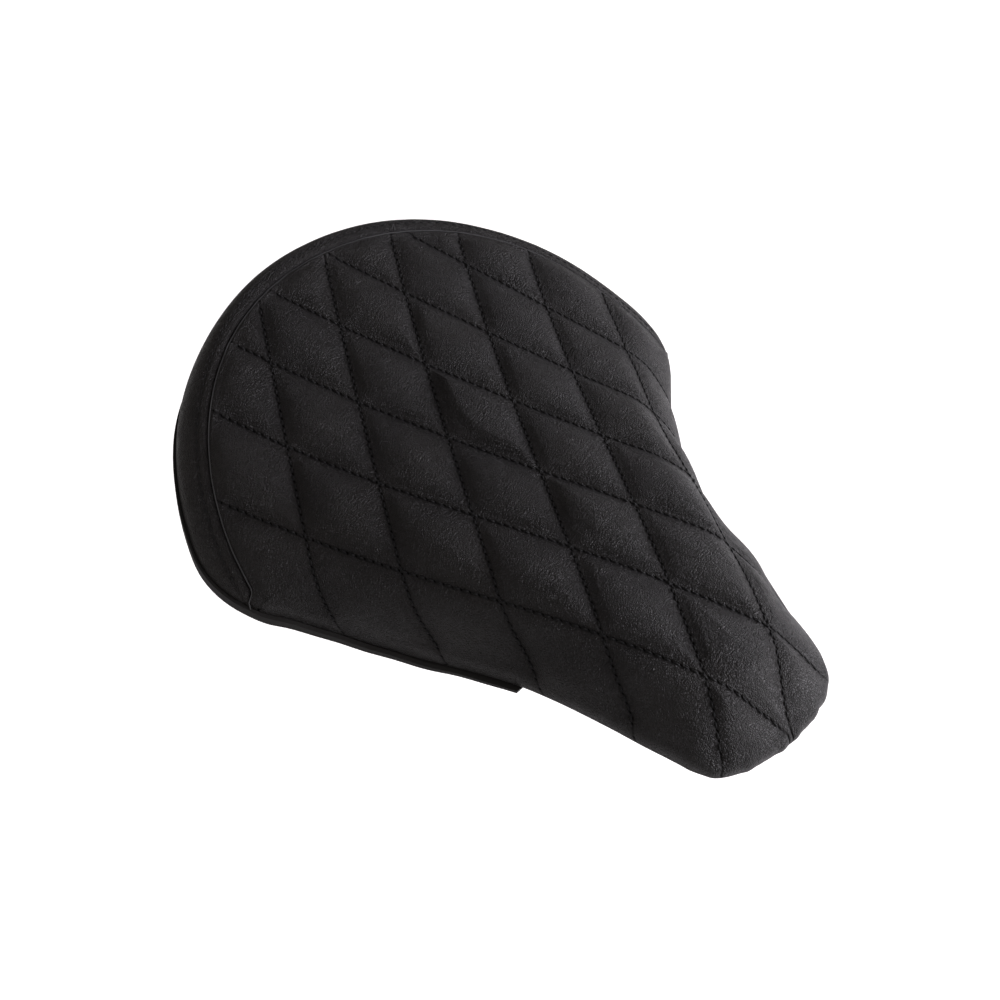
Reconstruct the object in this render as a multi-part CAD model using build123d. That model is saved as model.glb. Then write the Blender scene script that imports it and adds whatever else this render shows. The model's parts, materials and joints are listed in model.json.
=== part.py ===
from build123d import *
import math
import os

# Sprung solo seat for a motorcycle, in millimetres.
# +Z is up, the nose points to -Y, and the rider's right is -X.
# The origin is midway between the two rear bungs, on their lower faces, where the spring bolts enter.
# The solids are modelled with the underside of the pan's flat plate at Z 0, and lifted to the origin
# as they are written.

# --- plan outline of the leather skirt: a chain of tangent arcs, rear tip to nose tip ---
REAR_TIP = 128.0          # Y of the rear tip
REAR_RADIUS = 139.5
REAR_SWEEP = 75.0         # degrees of arc on each side of the rear tip
SHOULDER_RADIUS = 44.0
SHOULDER_SWEEP = 60.0
WAIST_RADIUS = 245.0      # hollow side
WAIST_SWEEP = 27.5
TAPER_LENGTH = 67.5       # straight run to the nose
NOSE_CORNER_RADIUS = 25.0
NOSE_CORNER_SWEEP = 55.5

# --- steel pan ---
PAN_THICKNESS = 2.5
PAN_INSET = 2.0           # pan edge inside the leather's outer face
KICK_RISE = 16.0          # the rear of the pan stands this much above its flat plate
KICK_START = 6.0
KICK_END = 84.0
WAIST_DROP = 15.7         # the sides of the pan roll down this much at the waist
WAIST_Y = -60.0
WAIST_SPREAD = 48.0
ROLL_DOWN_WIDTH = 55.0
BEAD_X = 42.0
BEAD_RADIUS = 3.0
BEAD_FRONT = -98.0
BEAD_REAR = -32.0
VENT_RADIUS = 4.0
VENT_PLACES = [(22.0, 46.0), (22.0, -74.0)]

# --- padding: height of the crown over the pan's underside ---
CROWN_HEIGHT = 29.5       # at the middle of the seat
CROWN_MIDDLE_Y = -36.0
REAR_RISE = 8.3e-4        # per mm squared behind the middle
NOSE_START_Y = -106.0
NOSE_FALL = 1.3e-3        # per mm squared ahead of the nose start
NOSE_SWELL = 1.2          # the crown is this much higher at the nose start
CROSS_FALL = 1.3e-3       # per mm squared away from the centre line
CROSS_FALL_Y = -26.0
CROSS_FALL_SPREAD = 100.0
ROLL_REAR = 16.0          # radius over which the top rolls into the skirt
ROLL_SIDE = 32.0
ROLL_SIDE_Y = -24.0

# --- cover, trim and padding thicknesses ---
LEATHER = 1.5
QUILT_FOAM = 5.0
GAP = 0.1                 # clearance between pieces that touch
LAYER_GAP = 0.4           # clearance between the soft layers
HEM_WIDTH = 13.0
SEAM_RADIUS = 128.0       # the seam is a circle in plan
SEAM_CENTRE_Y = -17.0
TRIM_THICKNESS = 1.4
TRIM_FOOT = 4.5           # how far the trim reaches under the hem
TRIM_TOP = -0.6           # upper edge of the trim from the pan's top, around the rear
TRIM_TAPER = 3.4          # the upper edge sinks this much on its way to the trim's front end
TRIM_TAPER_Y = 30.0
TRIM_FRONT_Y = -110.0     # the trim ends here, short of the nose

# --- rivets that hold the hem ---
RIVET_INSET = 9.3
RIVET_RADIUS = 1.6
RIVET_TAIL_RADIUS = 2.5
RIVET_HEAD_RADIUS = 3.2
RIVET_HEAD = 1.1
RIVET_EDGE = 0.7          # rounding of the head
RIVETS_PER_SIDE = 8
RIVET_POCKET = 0.6        # room around the tail in the soft layers

# --- rear spring mount ---
BUNG_SPACING = 140.0
BUNG_RADIUS = 10.0
BUNG_LENGTH = 12.0
BUNG_SPIGOT = 2.0         # the spigot in the plate is this much slimmer than the boss
BUNG_THREAD_RADIUS = 3.4  # M8 tapping size
BUNG_CAP = 1.5            # metal left above the blind thread
PLATE_THICKNESS = 3.0
REAR_PLATE_WIDTH = 176.0
REAR_PLATE_DEPTH = 40.0
REAR_PLATE_CORNER = 14.0
REAR_PLATE_SLOT = 60.0
REAR_PLATE_SLOT_WIDTH = 16.0

# --- nose bracket and pivot ---
PIVOT_Y = -135.0
PIVOT_Z = -20.0
BRACKET_WIDTH = 71.0
BRACKET_DEPTH = 42.0
BRACKET_CORNER = 6.0
EAR_INSIDE = 18.0         # inner face of each outer ear
EAR_THICKNESS = 3.0
EAR_RADIUS = 11.0
BRACKET_BOLT_X = 28.5
BRACKET_BOLT_DY = 13.5
M6_RADIUS = 3.0
M6_NUT_FLATS = 10.0
M6_NUT_HEIGHT = 5.0
M6_WASHER_RADIUS = 6.0
M6_WASHER = 1.6
M6_TIP = 2.5              # thread standing out of the nut
HOLE_CLEARANCE = 0.2
THREAD_CLEARANCE = 0.05
CARRIAGE_HEAD_RADIUS = 7.0
CARRIAGE_HEAD = 3.0
PIVOT_RADIUS = 5.0
PIVOT_CLEARANCE = 0.05
PRESS_CLEARANCE = 0.02    # bushing in its lug
BUSHING_WALL = 1.5
BUSHING_FLANGE_RADIUS = 9.5
BUSHING_FLANGE = 1.2
PIVOT_WASHER_RADIUS = 10.0
PIVOT_WASHER = 2.0
PIVOT_HEAD_FLATS = 17.0
PIVOT_HEAD = 6.4
PIVOT_NUT = 8.0
PIVOT_NUT_COLLAR = 2.0
PIVOT_TIP = 3.0
SPACER_WALL = 3.0

# --- frame bracket, which turns on the pivot ---
LUG_OUTSIDE = 16.5        # outer face of each inner lug
LUG_THICKNESS = 3.0
FRAME_BASE_LENGTH = 50.0
FRAME_BASE_DROP = 16.0    # from the pivot to the underside of the base
FRAME_CORNER = 4.0
FRAME_HOLE_RADIUS = 4.25
FRAME_HOLE_SPACING = 32.0

# --- small edges ---
BOLT_CHAMFER = 0.6
ROD_CHAMFER = 0.8

# --- modelling limits ---
OUTSIDE = 9.0             # how far the smooth surfaces reach past the outline
RIM_LEAD = 0.12           # how far up its curve the roll starts, as a share of its radius
GRID_ACROSS = 14          # curve points from the centre line outward
GRID_ALONG = 40           # cross sections
DEEP = 70.0
WIDE = 400.0


def smooth_step(t):
    t = min(max(t, 0.0), 1.0)
    return t * t * (3 - 2 * t)


def bell(y, centre, spread):
    return math.exp(-(((y - centre) / spread) ** 2))


def advance(x, y, heading, radius, amount):
    """End of one outline piece: an arc of signed radius (right turns negative), or a line."""
    if radius is None:
        return x + amount * math.cos(heading), y + amount * math.sin(heading), heading
    bend = heading + math.radians(amount) * math.copysign(1, radius)
    return (x + radius * (math.sin(bend) - math.sin(heading)),
            y - radius * (math.cos(bend) - math.cos(heading)), bend)


def outline_pieces():
    """The half outline as (x, y, heading, signed radius or None, degrees or length) per piece."""
    plan = [
        (-REAR_RADIUS, REAR_SWEEP),
        (-SHOULDER_RADIUS, SHOULDER_SWEEP),
        (WAIST_RADIUS, WAIST_SWEEP),
        (None, TAPER_LENGTH),
        (-NOSE_CORNER_RADIUS, NOSE_CORNER_SWEEP),
    ]
    place = (0.0, REAR_TIP, 0.0)
    pieces = []
    for radius, amount in plan:
        pieces.append((*place, radius, amount))
        place = advance(*place, radius, amount)
    last_turn = math.pi + place[2]
    pieces.append((*place, -place[0] / math.sin(last_turn), math.degrees(last_turn)))
    return pieces


PIECES = outline_pieces()


def piece_length(piece):
    radius, amount = piece[3:]
    return amount if radius is None else abs(radius) * math.radians(amount)


def rim_at(share):
    """Point and heading at a share of the half outline's length, from rear tip to nose tip."""
    left = share * sum(piece_length(p) for p in PIECES)
    for piece in PIECES:
        length = piece_length(piece)
        if left <= length or piece is PIECES[-1]:
            return advance(*piece[:4], piece[4] * left / length)
        left -= length


NOSE_TIP = rim_at(1.0)[1]


def nearest_rim(x, y):
    """Signed distance inside the half outline, and the nearest rim point with its heading."""
    found = []
    for px, py, heading, radius, amount in PIECES:
        if radius is None:
            along = (x - px) * math.cos(heading) + (y - py) * math.sin(heading)
            part = min(max(along, 0.0), amount)
        else:
            cx, cy = px - radius * math.sin(heading), py + radius * math.cos(heading)
            side = math.copysign(1, radius)
            facing = math.atan2(side * (x - cx), -side * (y - cy))
            turned = math.degrees((facing - heading) * side) % 360
            part = turned if turned <= amount else (0.0 if turned > 180 + amount / 2 else amount)
        rx, ry, turn = advance(px, py, heading, radius, part)
        inward = (x - rx) * math.sin(turn) - (y - ry) * math.cos(turn)
        found.append((math.hypot(x - rx, y - ry), inward, (rx, ry, turn)))
    across, inward, rim = min(found, key=lambda item: item[0])
    return math.copysign(across, inward), rim


def pan_top(x, y, distance=None):
    """Height of the pan's upper face."""
    if distance is None:
        distance = nearest_rim(abs(x), y)[0]
    kick = KICK_RISE * smooth_step((y - KICK_START) / (KICK_END - KICK_START))
    roll = max(0.0, 1 - max(distance, -OUTSIDE) / ROLL_DOWN_WIDTH) ** 3
    return PAN_THICKNESS + kick - WAIST_DROP * bell(y, WAIST_Y, WAIST_SPREAD) * roll


def crown(x, y):
    """Height of the padded top, away from its rolled edges."""
    rear = REAR_RISE * max(0.0, y - CROWN_MIDDLE_Y) ** 2
    nose = NOSE_FALL * max(0.0, NOSE_START_Y - y) ** 2
    swell = NOSE_SWELL * smooth_step((CROWN_MIDDLE_Y - y) / (CROWN_MIDDLE_Y - NOSE_START_Y))
    fall = CROSS_FALL * bell(y, CROSS_FALL_Y, CROSS_FALL_SPREAD) * x * x
    return CROWN_HEIGHT + rear - nose + swell - fall


def roll_radius(y):
    return ROLL_REAR + (ROLL_SIDE - ROLL_REAR) * smooth_step((REAR_TIP - y) / (REAR_TIP - ROLL_SIDE_Y))


def roll_share(distance, radius):
    """How much of the padding's height is reached at a distance in from the rim, 0 to 1."""
    lead = RIM_LEAD * radius
    part = min((max(distance, 0.0) + lead) / (radius + lead), 1.0)
    share = math.sqrt(1 - (1 - part) ** 2)
    if distance < 0:
        share += max(distance, -OUTSIDE) * (1 - part) / share / (radius + lead)
    return share


def padded_top(x, y, inset):
    """Height of the padded surface that lies inset below the leather's outer face."""
    distance, rim = nearest_rim(x, y)
    foot = pan_top(rim[0], rim[1], 0.0)
    share = roll_share(distance - inset, roll_radius(rim[1]) - inset)
    return foot + (crown(x, y) - inset - foot) * share


def cross_section(y, half_width, height, depth):
    """Closed wire across the seat: the surface on top, the same curve lower down, and two sides."""
    turns = [math.pi / 2 * i / GRID_ACROSS for i in range(-GRID_ACROSS, GRID_ACROSS + 1)]
    top = [Vector(half_width * math.sin(a), y, height(half_width * abs(math.sin(a)), y)) for a in turns]
    low = [Vector(p.X, y, p.Z - depth) for p in top]
    shares = [i / (len(turns) - 1) for i in range(len(turns))]
    return Wire([Edge.make_spline(top, parameters=shares), Edge.make_line(top[-1], low[-1]),
                 Edge.make_spline(low, parameters=shares), Edge.make_line(low[0], top[0])])


def height_block(height, depth):
    """Solid of the given depth under a smooth surface that reaches past the outline."""
    half_width = max(rim_at(i / 100)[0] for i in range(101)) + OUTSIDE
    middle = (REAR_TIP + NOSE_TIP) / 2
    half_length = (REAR_TIP - NOSE_TIP) / 2 + OUTSIDE
    stations = [middle - half_length * math.cos(math.pi * j / GRID_ALONG) for j in range(GRID_ALONG + 1)]
    return Solid.make_loft([cross_section(y, half_width, height, depth) for y in stations])


def padded_block(inset):
    return height_block(lambda x, y: padded_top(x, y, inset), DEEP) & outline_prism(inset)


def pan_block(top, depth):
    """Layer that follows the pan, from top above its upper face downward."""
    return height_block(lambda x, y: pan_top(x, y) + top, depth)


def outline_prism(inset):
    """Upright prism inside the skirt outline by inset."""
    edges = []
    start, tangent = Vector(0, REAR_TIP - inset), Vector(1, 0)
    for *_, radius, amount in PIECES:
        if radius is None:
            edge = Line(start, start + tangent * amount)
        else:
            size = amount * math.copysign(1, radius)
            edge = JernArc(start, tangent, abs(radius) + inset * math.copysign(1, radius), size)
        edges.append(edge)
        start, tangent = edge @ 1, edge % 1
    edges += [mirror(e, about=Plane.YZ) for e in edges]
    face = make_face(Curve() + edges)
    return Pos(0, 0, -WIDE / 2) * extrude(face, WIDE)


def ring(outer, inner):
    return outline_prism(outer) - outline_prism(inner)


def box_between(x0, x1, y0, y1, z0, z1):
    return Pos((x0 + x1) / 2, (y0 + y1) / 2, (z0 + z1) / 2) * Box(x1 - x0, y1 - y0, z1 - z0)


def rod(radius, x0, x1):
    """Cylinder along X at the pivot."""
    return Pos((x0 + x1) / 2, PIVOT_Y, PIVOT_Z) * Rot(0, 90, 0) * Cylinder(radius, x1 - x0)


def post(radius, x, y, z0, z1):
    """Upright cylinder."""
    return Pos(x, y, (z0 + z1) / 2) * Cylinder(radius, z1 - z0)


def hexagon(flats, height):
    return extrude(RegularPolygon(flats / 2, 6, major_radius=False), height)


def bracket_bolt_places():
    return [(sx * BRACKET_BOLT_X, PIVOT_Y + sy * BRACKET_BOLT_DY) for sx in (-1, 1) for sy in (-1, 1)]


def rivet_planes():
    """Planes on the pan's upper face at the rivets of the +X side, facing away from the steel."""
    planes = []
    for i in range(RIVETS_PER_SIDE):
        px, py, heading = rim_at((i + 0.5) / RIVETS_PER_SIDE)
        x = px + RIVET_INSET * math.sin(heading)
        y = py - RIVET_INSET * math.cos(heading)
        step = 0.5
        slope_x = (pan_top(x + step, y) - pan_top(x - step, y)) / (2 * step)
        slope_y = (pan_top(x, y + step) - pan_top(x, y - step)) / (2 * step)
        planes.append(Plane(Vector(x, y, pan_top(x, y)), z_dir=Vector(-slope_x, -slope_y, 1)))
    return planes


def both_sides(places):
    """The planes of the +X side and their mirror images."""
    flipped = [Plane(Vector(-p.origin.X, p.origin.Y, p.origin.Z),
                     z_dir=Vector(-p.z_dir.X, p.z_dir.Y, p.z_dir.Z)) for p in places]
    return places + flipped


def drill_rivets(piece, radius, length):
    """The piece with a hole or pocket of that size, centred on the pan's upper face, at each rivet."""
    for plane in both_sides(rivet_planes()):
        piece -= plane * Cylinder(radius, length)
    return piece


# ---------------------------------------------------------------- soft parts

def behind_seam(radius):
    """Upright region behind the seam circle."""
    region = Pos(0, SEAM_CENTRE_Y) * Rectangle(2 * WIDE, WIDE, align=(Align.CENTER, Align.MIN))
    region -= Pos(0, SEAM_CENTRE_Y) * Circle(radius)
    return Pos(0, 0, -WIDE / 2) * extrude(region, WIDE)


def cover_pieces():
    """The quilted top and the rear band: leather skin, skirt, and hem turned under the pan's edge."""
    hem_top = -PAN_THICKNESS - GAP
    body = padded_block(0.0) - pan_block(hem_top - LEATHER, DEEP)
    cavity = padded_block(LEATHER) - pan_block(hem_top, DEEP)
    mouth = pan_block(hem_top + 0.5, DEEP) & outline_prism(HEM_WIDTH)
    pieces = []
    for piece in (body - behind_seam(SEAM_RADIUS), body & behind_seam(SEAM_RADIUS + GAP)):
        pieces.append(drill_rivets(piece - cavity - mouth, RIVET_RADIUS + GAP, 2 * HEM_WIDTH))
    return pieces


def tail_pockets(piece):
    return drill_rivets(piece, RIVET_TAIL_RADIUS + RIVET_POCKET, 2 * (RIVET_HEAD + RIVET_POCKET))


def quilt_padding():
    outer = padded_block(LEATHER + LAYER_GAP) - pan_block(LAYER_GAP, DEEP)
    return tail_pockets(outer - padded_block(LEATHER + LAYER_GAP + QUILT_FOAM))


def foam_cushion():
    """Moulded foam with pockets over the bolt heads and rivet tails."""
    foam = tail_pockets(padded_block(LEATHER + QUILT_FOAM + 2 * LAYER_GAP) - pan_block(LAYER_GAP, DEEP))
    for x, y in bracket_bolt_places():
        foam -= post(CARRIAGE_HEAD_RADIUS + 1, x, y, 0, PAN_THICKNESS + CARRIAGE_HEAD + 1)
    return foam


def edge_trim():
    """Rubber channel over the folded leather edge, around the rear and sides."""
    drop = PAN_THICKNESS + 2 * GAP + LEATHER
    body = pan_block(0.0, drop + TRIM_THICKNESS) & ring(-GAP - TRIM_THICKNESS, TRIM_FOOT)
    groove = pan_block(GAP, drop + GAP) & ring(-GAP, 2 * TRIM_FOOT)
    back = box_between(-WIDE, WIDE, TRIM_FRONT_Y, WIDE, -WIDE, WIDE)
    return (body - groove) & back & height_block(trim_edge, DEEP)


def trim_edge(x, y):
    """Height of the trim's upper edge, which sinks toward its front end."""
    sunk = smooth_step((TRIM_TAPER_Y - y) / (TRIM_TAPER_Y - TRIM_FRONT_Y))
    return pan_top(x, y) + TRIM_TOP - TRIM_TAPER * sunk


def cover_rivets():
    """Pop rivets: shank through pan and hem, head under the hem, tail over the pan."""
    grip = PAN_THICKNESS + LEATHER + 3 * GAP
    shank = Pos(0, 0, (RIVET_HEAD - grip) / 2) * Cylinder(RIVET_RADIUS, RIVET_HEAD + grip)
    tail = Pos(0, 0, GAP + RIVET_HEAD / 2) * Cylinder(RIVET_TAIL_RADIUS, RIVET_HEAD)
    head = Pos(0, 0, -grip - RIVET_HEAD / 2) * Cylinder(RIVET_HEAD_RADIUS, RIVET_HEAD)
    head = fillet(head.edges().group_by(Axis.Z)[0], RIVET_EDGE)
    return [plane * (shank + tail + head) for plane in both_sides(rivet_planes())]


# ---------------------------------------------------------------- pan and rear mount

def seat_pan():
    """Stamped pan with a kick-up, rolled waist, two beads, vents and its bolt and rivet holes."""
    pan = pan_block(0.0, PAN_THICKNESS) & outline_prism(PAN_INSET)
    for side in (-1, 1):
        bead = Pos(side * BEAD_X, (BEAD_FRONT + BEAD_REAR) / 2, 0) * Rot(90, 0, 0)
        bead *= Cylinder(BEAD_RADIUS, BEAD_REAR - BEAD_FRONT)
        pan += bead & box_between(-WIDE, WIDE, -WIDE, WIDE, -BEAD_RADIUS, PAN_THICKNESS / 2)
        for x, y in VENT_PLACES:
            pan -= post(VENT_RADIUS, side * x, y, -DEEP, DEEP)
    for x, y in bracket_bolt_places():
        pan -= post(M6_RADIUS + HOLE_CLEARANCE, x, y, -DEEP, DEEP)
    return drill_rivets(pan, RIVET_RADIUS + GAP, 4 * PAN_THICKNESS)


def plate_under_pan(width, depth, y, corner):
    """Flat plate with rounded corners, its upper face eased where the pan comes lower."""
    plate = Pos(0, y, -GAP - PLATE_THICKNESS / 2) * Box(width, depth, PLATE_THICKNESS)
    plate &= pan_block(-PAN_THICKNESS - GAP, DEEP)
    return fillet(plate.edges().filter_by(Axis.Z), corner)


def rear_plate():
    """Reinforcement plate welded across the pan, with a slot between the bungs."""
    plate = plate_under_pan(REAR_PLATE_WIDTH, REAR_PLATE_DEPTH, 0, REAR_PLATE_CORNER)
    plate -= extrude(SlotOverall(REAR_PLATE_SLOT, REAR_PLATE_SLOT_WIDTH), 2 * PLATE_THICKNESS, both=True)
    for side in (-1, 1):
        plate -= Pos(side * BUNG_SPACING / 2, 0, 0) * Cylinder(BUNG_RADIUS - BUNG_SPIGOT + GAP, DEEP)
    return plate


def rear_bungs():
    """Blind threaded bungs: a spigot through the plate and a shouldered boss under it."""
    under = -GAP - PLATE_THICKNESS - GAP
    bungs = []
    for side in (-1, 1):
        x = side * BUNG_SPACING / 2
        boss = post(BUNG_RADIUS, x, 0, under - BUNG_LENGTH, under)
        boss = chamfer(boss.edges().group_by(Axis.Z)[0], ROD_CHAMFER)
        boss += post(BUNG_RADIUS - BUNG_SPIGOT, x, 0, under, -GAP)
        bungs.append(boss - post(BUNG_THREAD_RADIUS, x, 0, -DEEP, -GAP - BUNG_CAP))
    return bungs


# ---------------------------------------------------------------- nose bracket and pivot

def ear(x0, x1, z_join, radius, width):
    """Upright plate with a round end at the pivot."""
    low, high = min(z_join, PIVOT_Z), max(z_join, PIVOT_Z)
    return rod(radius, x0, x1) + box_between(x0, x1, PIVOT_Y - width / 2, PIVOT_Y + width / 2, low, high)


def pivot_bracket():
    """Base plate against the pan with two ears that carry the pivot bolt."""
    bracket = plate_under_pan(BRACKET_WIDTH, BRACKET_DEPTH, PIVOT_Y, BRACKET_CORNER)
    for side in (-1, 1):
        xs = sorted((side * EAR_INSIDE, side * (EAR_INSIDE + EAR_THICKNESS)))
        bracket += ear(*xs, -GAP - PLATE_THICKNESS, EAR_RADIUS, 2 * EAR_RADIUS)
    for x, y in bracket_bolt_places():
        bracket -= post(M6_RADIUS + HOLE_CLEARANCE, x, y, -DEEP, DEEP)
    return bracket - rod(PIVOT_RADIUS + GAP, -DEEP, DEEP)


def bracket_bolts():
    """Low-dome bolts from inside the pan."""
    tip = -3 * GAP - PLATE_THICKNESS - M6_WASHER - M6_NUT_HEIGHT - M6_TIP
    bolts = []
    for x, y in bracket_bolt_places():
        seat = PAN_THICKNESS + GAP
        head = post(CARRIAGE_HEAD_RADIUS, x, y, seat, seat + CARRIAGE_HEAD)
        head = fillet(head.edges().group_by(Axis.Z)[-1], CARRIAGE_HEAD * 0.8)
        bolt = head + post(M6_RADIUS, x, y, tip, seat)
        bolts.append(chamfer(bolt.edges().group_by(Axis.Z)[0], BOLT_CHAMFER))
    return bolts


def bracket_washers():
    top = -2 * GAP - PLATE_THICKNESS
    hole = M6_RADIUS + HOLE_CLEARANCE
    return [post(M6_WASHER_RADIUS, x, y, top - M6_WASHER, top) - post(hole, x, y, -DEEP, 0)
            for x, y in bracket_bolt_places()]


def bracket_nuts():
    top = -3 * GAP - PLATE_THICKNESS - M6_WASHER
    nuts = []
    for x, y in bracket_bolt_places():
        nut = Pos(x, y, top - M6_NUT_HEIGHT) * hexagon(M6_NUT_FLATS, M6_NUT_HEIGHT)
        nuts.append(nut - post(M6_RADIUS + THREAD_CLEARANCE, x, y, -DEEP, 0))
    return nuts


OUTER_FACE = EAR_INSIDE + EAR_THICKNESS
WASHER_FACE = OUTER_FACE + GAP + PIVOT_WASHER


def turned_hexagon(flats, height, x):
    """Hexagon with its axis along X, starting at x and running away from the centre."""
    side = math.copysign(1, x)
    return Pos(x, PIVOT_Y, PIVOT_Z) * Rot(0, side * 90, 0) * hexagon(flats, height)


def pivot_bolt():
    start = WASHER_FACE + GAP
    shank = rod(PIVOT_RADIUS, -start, start + GAP + PIVOT_NUT + PIVOT_TIP)
    shank = chamfer(shank.edges().group_by(Axis.X)[-1], ROD_CHAMFER)
    return turned_hexagon(PIVOT_HEAD_FLATS, PIVOT_HEAD, -start) + shank


def pivot_nut():
    """Locking nut with a round collar."""
    start = WASHER_FACE + GAP
    step = start + PIVOT_NUT - PIVOT_NUT_COLLAR
    nut = turned_hexagon(PIVOT_HEAD_FLATS, step - start, start)
    nut += rod(PIVOT_HEAD_FLATS / 2 - ROD_CHAMFER, step, start + PIVOT_NUT)
    return nut - rod(PIVOT_RADIUS + THREAD_CLEARANCE, 0, DEEP)


def pivot_washers():
    washers = []
    for side in (-1, 1):
        xs = sorted((side * (OUTER_FACE + GAP), side * WASHER_FACE))
        washers.append(rod(PIVOT_WASHER_RADIUS, *xs) - rod(PIVOT_RADIUS + HOLE_CLEARANCE, -DEEP, DEEP))
    return washers


def pivot_bushings():
    """Flanged bronze bushings pressed into the frame bracket's lugs."""
    bushings = []
    for side in (-1, 1):
        xs = sorted((side * (LUG_OUTSIDE - LUG_THICKNESS), side * LUG_OUTSIDE))
        flange = sorted((side * LUG_OUTSIDE, side * (LUG_OUTSIDE + BUSHING_FLANGE)))
        body = rod(PIVOT_RADIUS + BUSHING_WALL, *xs) + rod(BUSHING_FLANGE_RADIUS, *flange)
        bushings.append(body - rod(PIVOT_RADIUS + PIVOT_CLEARANCE, -DEEP, DEEP))
    return bushings


def spacer_tube():
    """Tube on the bolt between the lugs."""
    half = LUG_OUTSIDE - LUG_THICKNESS - 3 * GAP
    return rod(PIVOT_RADIUS + SPACER_WALL, -half, half) - rod(PIVOT_RADIUS + PIVOT_CLEARANCE, -DEEP, DEEP)


def frame_bracket():
    """Channel that bolts to the motorcycle; its lugs turn on the pivot bolt."""
    low = PIVOT_Z - FRAME_BASE_DROP
    half = FRAME_BASE_LENGTH / 2
    base = box_between(-LUG_OUTSIDE, LUG_OUTSIDE, PIVOT_Y - half, PIVOT_Y + half, low, low + LUG_THICKNESS)
    bracket = fillet(base.edges().filter_by(Axis.Z), FRAME_CORNER)
    for side in (-1, 1):
        xs = sorted((side * (LUG_OUTSIDE - LUG_THICKNESS), side * LUG_OUTSIDE))
        bracket += ear(*xs, low + LUG_THICKNESS, BUSHING_FLANGE_RADIUS + 1, 2 * BUSHING_FLANGE_RADIUS + 2)
    for side in (-1, 1):
        y = PIVOT_Y + side * FRAME_HOLE_SPACING / 2
        bracket -= post(FRAME_HOLE_RADIUS, 0, y, -DEEP, low + LUG_THICKNESS + GAP)
    return bracket - rod(PIVOT_RADIUS + BUSHING_WALL + PRESS_CLEARANCE, -DEEP, DEEP)


def write(name, shape):
    rise = 2 * GAP + PLATE_THICKNESS + BUNG_LENGTH
    solids = shape if isinstance(shape, list) else [shape]
    found = [Pos(0, 0, rise) * s for one in solids for s in one.solids()]
    whole = found[0] if len(found) == 1 else Compound(children=found)
    whole.label = name
    export_step(whole, f"parts/{name}.step")


def main():
    os.makedirs("parts", exist_ok=True)
    top, band = cover_pieces()
    write("top_cover", top)
    write("rear_band", band)
    for make in (quilt_padding, foam_cushion, edge_trim, cover_rivets, seat_pan, rear_plate, rear_bungs,
                 pivot_bracket, bracket_bolts, bracket_washers, bracket_nuts, pivot_bolt, pivot_nut,
                 pivot_washers, pivot_bushings, spacer_tube, frame_bracket):
        write(make.__name__, make())


main()
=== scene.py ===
import json
import math

import bpy
import numpy as np
from mathutils import Matrix, Vector


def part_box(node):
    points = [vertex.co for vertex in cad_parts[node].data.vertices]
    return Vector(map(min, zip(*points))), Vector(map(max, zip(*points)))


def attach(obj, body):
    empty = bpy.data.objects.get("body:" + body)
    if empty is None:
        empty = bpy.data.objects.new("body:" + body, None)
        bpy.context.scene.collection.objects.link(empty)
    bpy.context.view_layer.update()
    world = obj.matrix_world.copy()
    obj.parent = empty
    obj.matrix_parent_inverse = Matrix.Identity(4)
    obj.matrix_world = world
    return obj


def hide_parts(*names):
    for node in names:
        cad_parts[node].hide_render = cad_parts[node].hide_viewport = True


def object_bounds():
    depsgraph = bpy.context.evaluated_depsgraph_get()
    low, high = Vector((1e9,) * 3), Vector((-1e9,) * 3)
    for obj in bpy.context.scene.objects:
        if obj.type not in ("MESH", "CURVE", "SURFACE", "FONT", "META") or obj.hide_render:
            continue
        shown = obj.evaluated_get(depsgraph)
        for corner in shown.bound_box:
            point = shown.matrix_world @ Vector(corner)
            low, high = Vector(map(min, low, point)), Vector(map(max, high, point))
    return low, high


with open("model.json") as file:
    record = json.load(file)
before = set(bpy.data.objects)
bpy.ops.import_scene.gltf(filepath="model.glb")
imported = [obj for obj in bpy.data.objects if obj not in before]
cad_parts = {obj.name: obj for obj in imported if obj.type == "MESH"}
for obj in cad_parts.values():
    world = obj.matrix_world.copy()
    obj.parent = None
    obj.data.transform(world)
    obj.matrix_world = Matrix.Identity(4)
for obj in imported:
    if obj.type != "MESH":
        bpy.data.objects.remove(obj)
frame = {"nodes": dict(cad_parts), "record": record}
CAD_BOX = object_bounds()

# Lengths in the geometry code are millimetres, nose to -Y and +Z up, from the pan's underside.
MM = 0.001
PAN_UNDERSIDE = np.array((0.0, 0.0, 15.2))      # in the row frame: the bungs and their plate are below it
nodes = frame["nodes"]


def box_mm(node):
    low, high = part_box(node)
    return np.array(low) / MM, np.array(high) / MM


# ------------------------------------------------------------------ the seat's shape

REAR_TIP = box_mm("rear_band")[1][1]
OUTLINE = [               # signed radius (right turns negative) or None, degrees or length
    (-139.5, 75.0),
    (-44.0, 60.0),
    (245.0, 27.5),
    (None, 67.5),
    (-25.0, 55.5),
]
PAN_TOP = 2.5
KICK_RISE, KICK_START, KICK_END = 16.0, 6.0, 84.0
WAIST_DROP, WAIST_Y, WAIST_SPREAD, ROLL_DOWN_WIDTH = 15.7, -60.0, 48.0, 55.0
HEM_DROP = 4.15           # outer face of the turned-under hem below the pan's top
HEM_WIDTH = 12.5
CROWN_HEIGHT, CROWN_MIDDLE_Y = 29.5, -36.0
REAR_RISE, NOSE_START_Y, NOSE_FALL, NOSE_SWELL = 8.3e-4, -106.0, 1.3e-3, 1.2
CROSS_FALL, CROSS_FALL_Y, CROSS_FALL_SPREAD = 1.3e-3, -26.0, 100.0
ROLL_REAR, ROLL_SIDE, ROLL_SIDE_Y = 12.0, 32.0, -24.0
SEAM_RADIUS, SEAM_CENTRE_Y = 128.0, -17.0
SPINE_REAR, SPINE_NOSE = 70.0, 34.0     # how far the spine stops short of each tip

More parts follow.
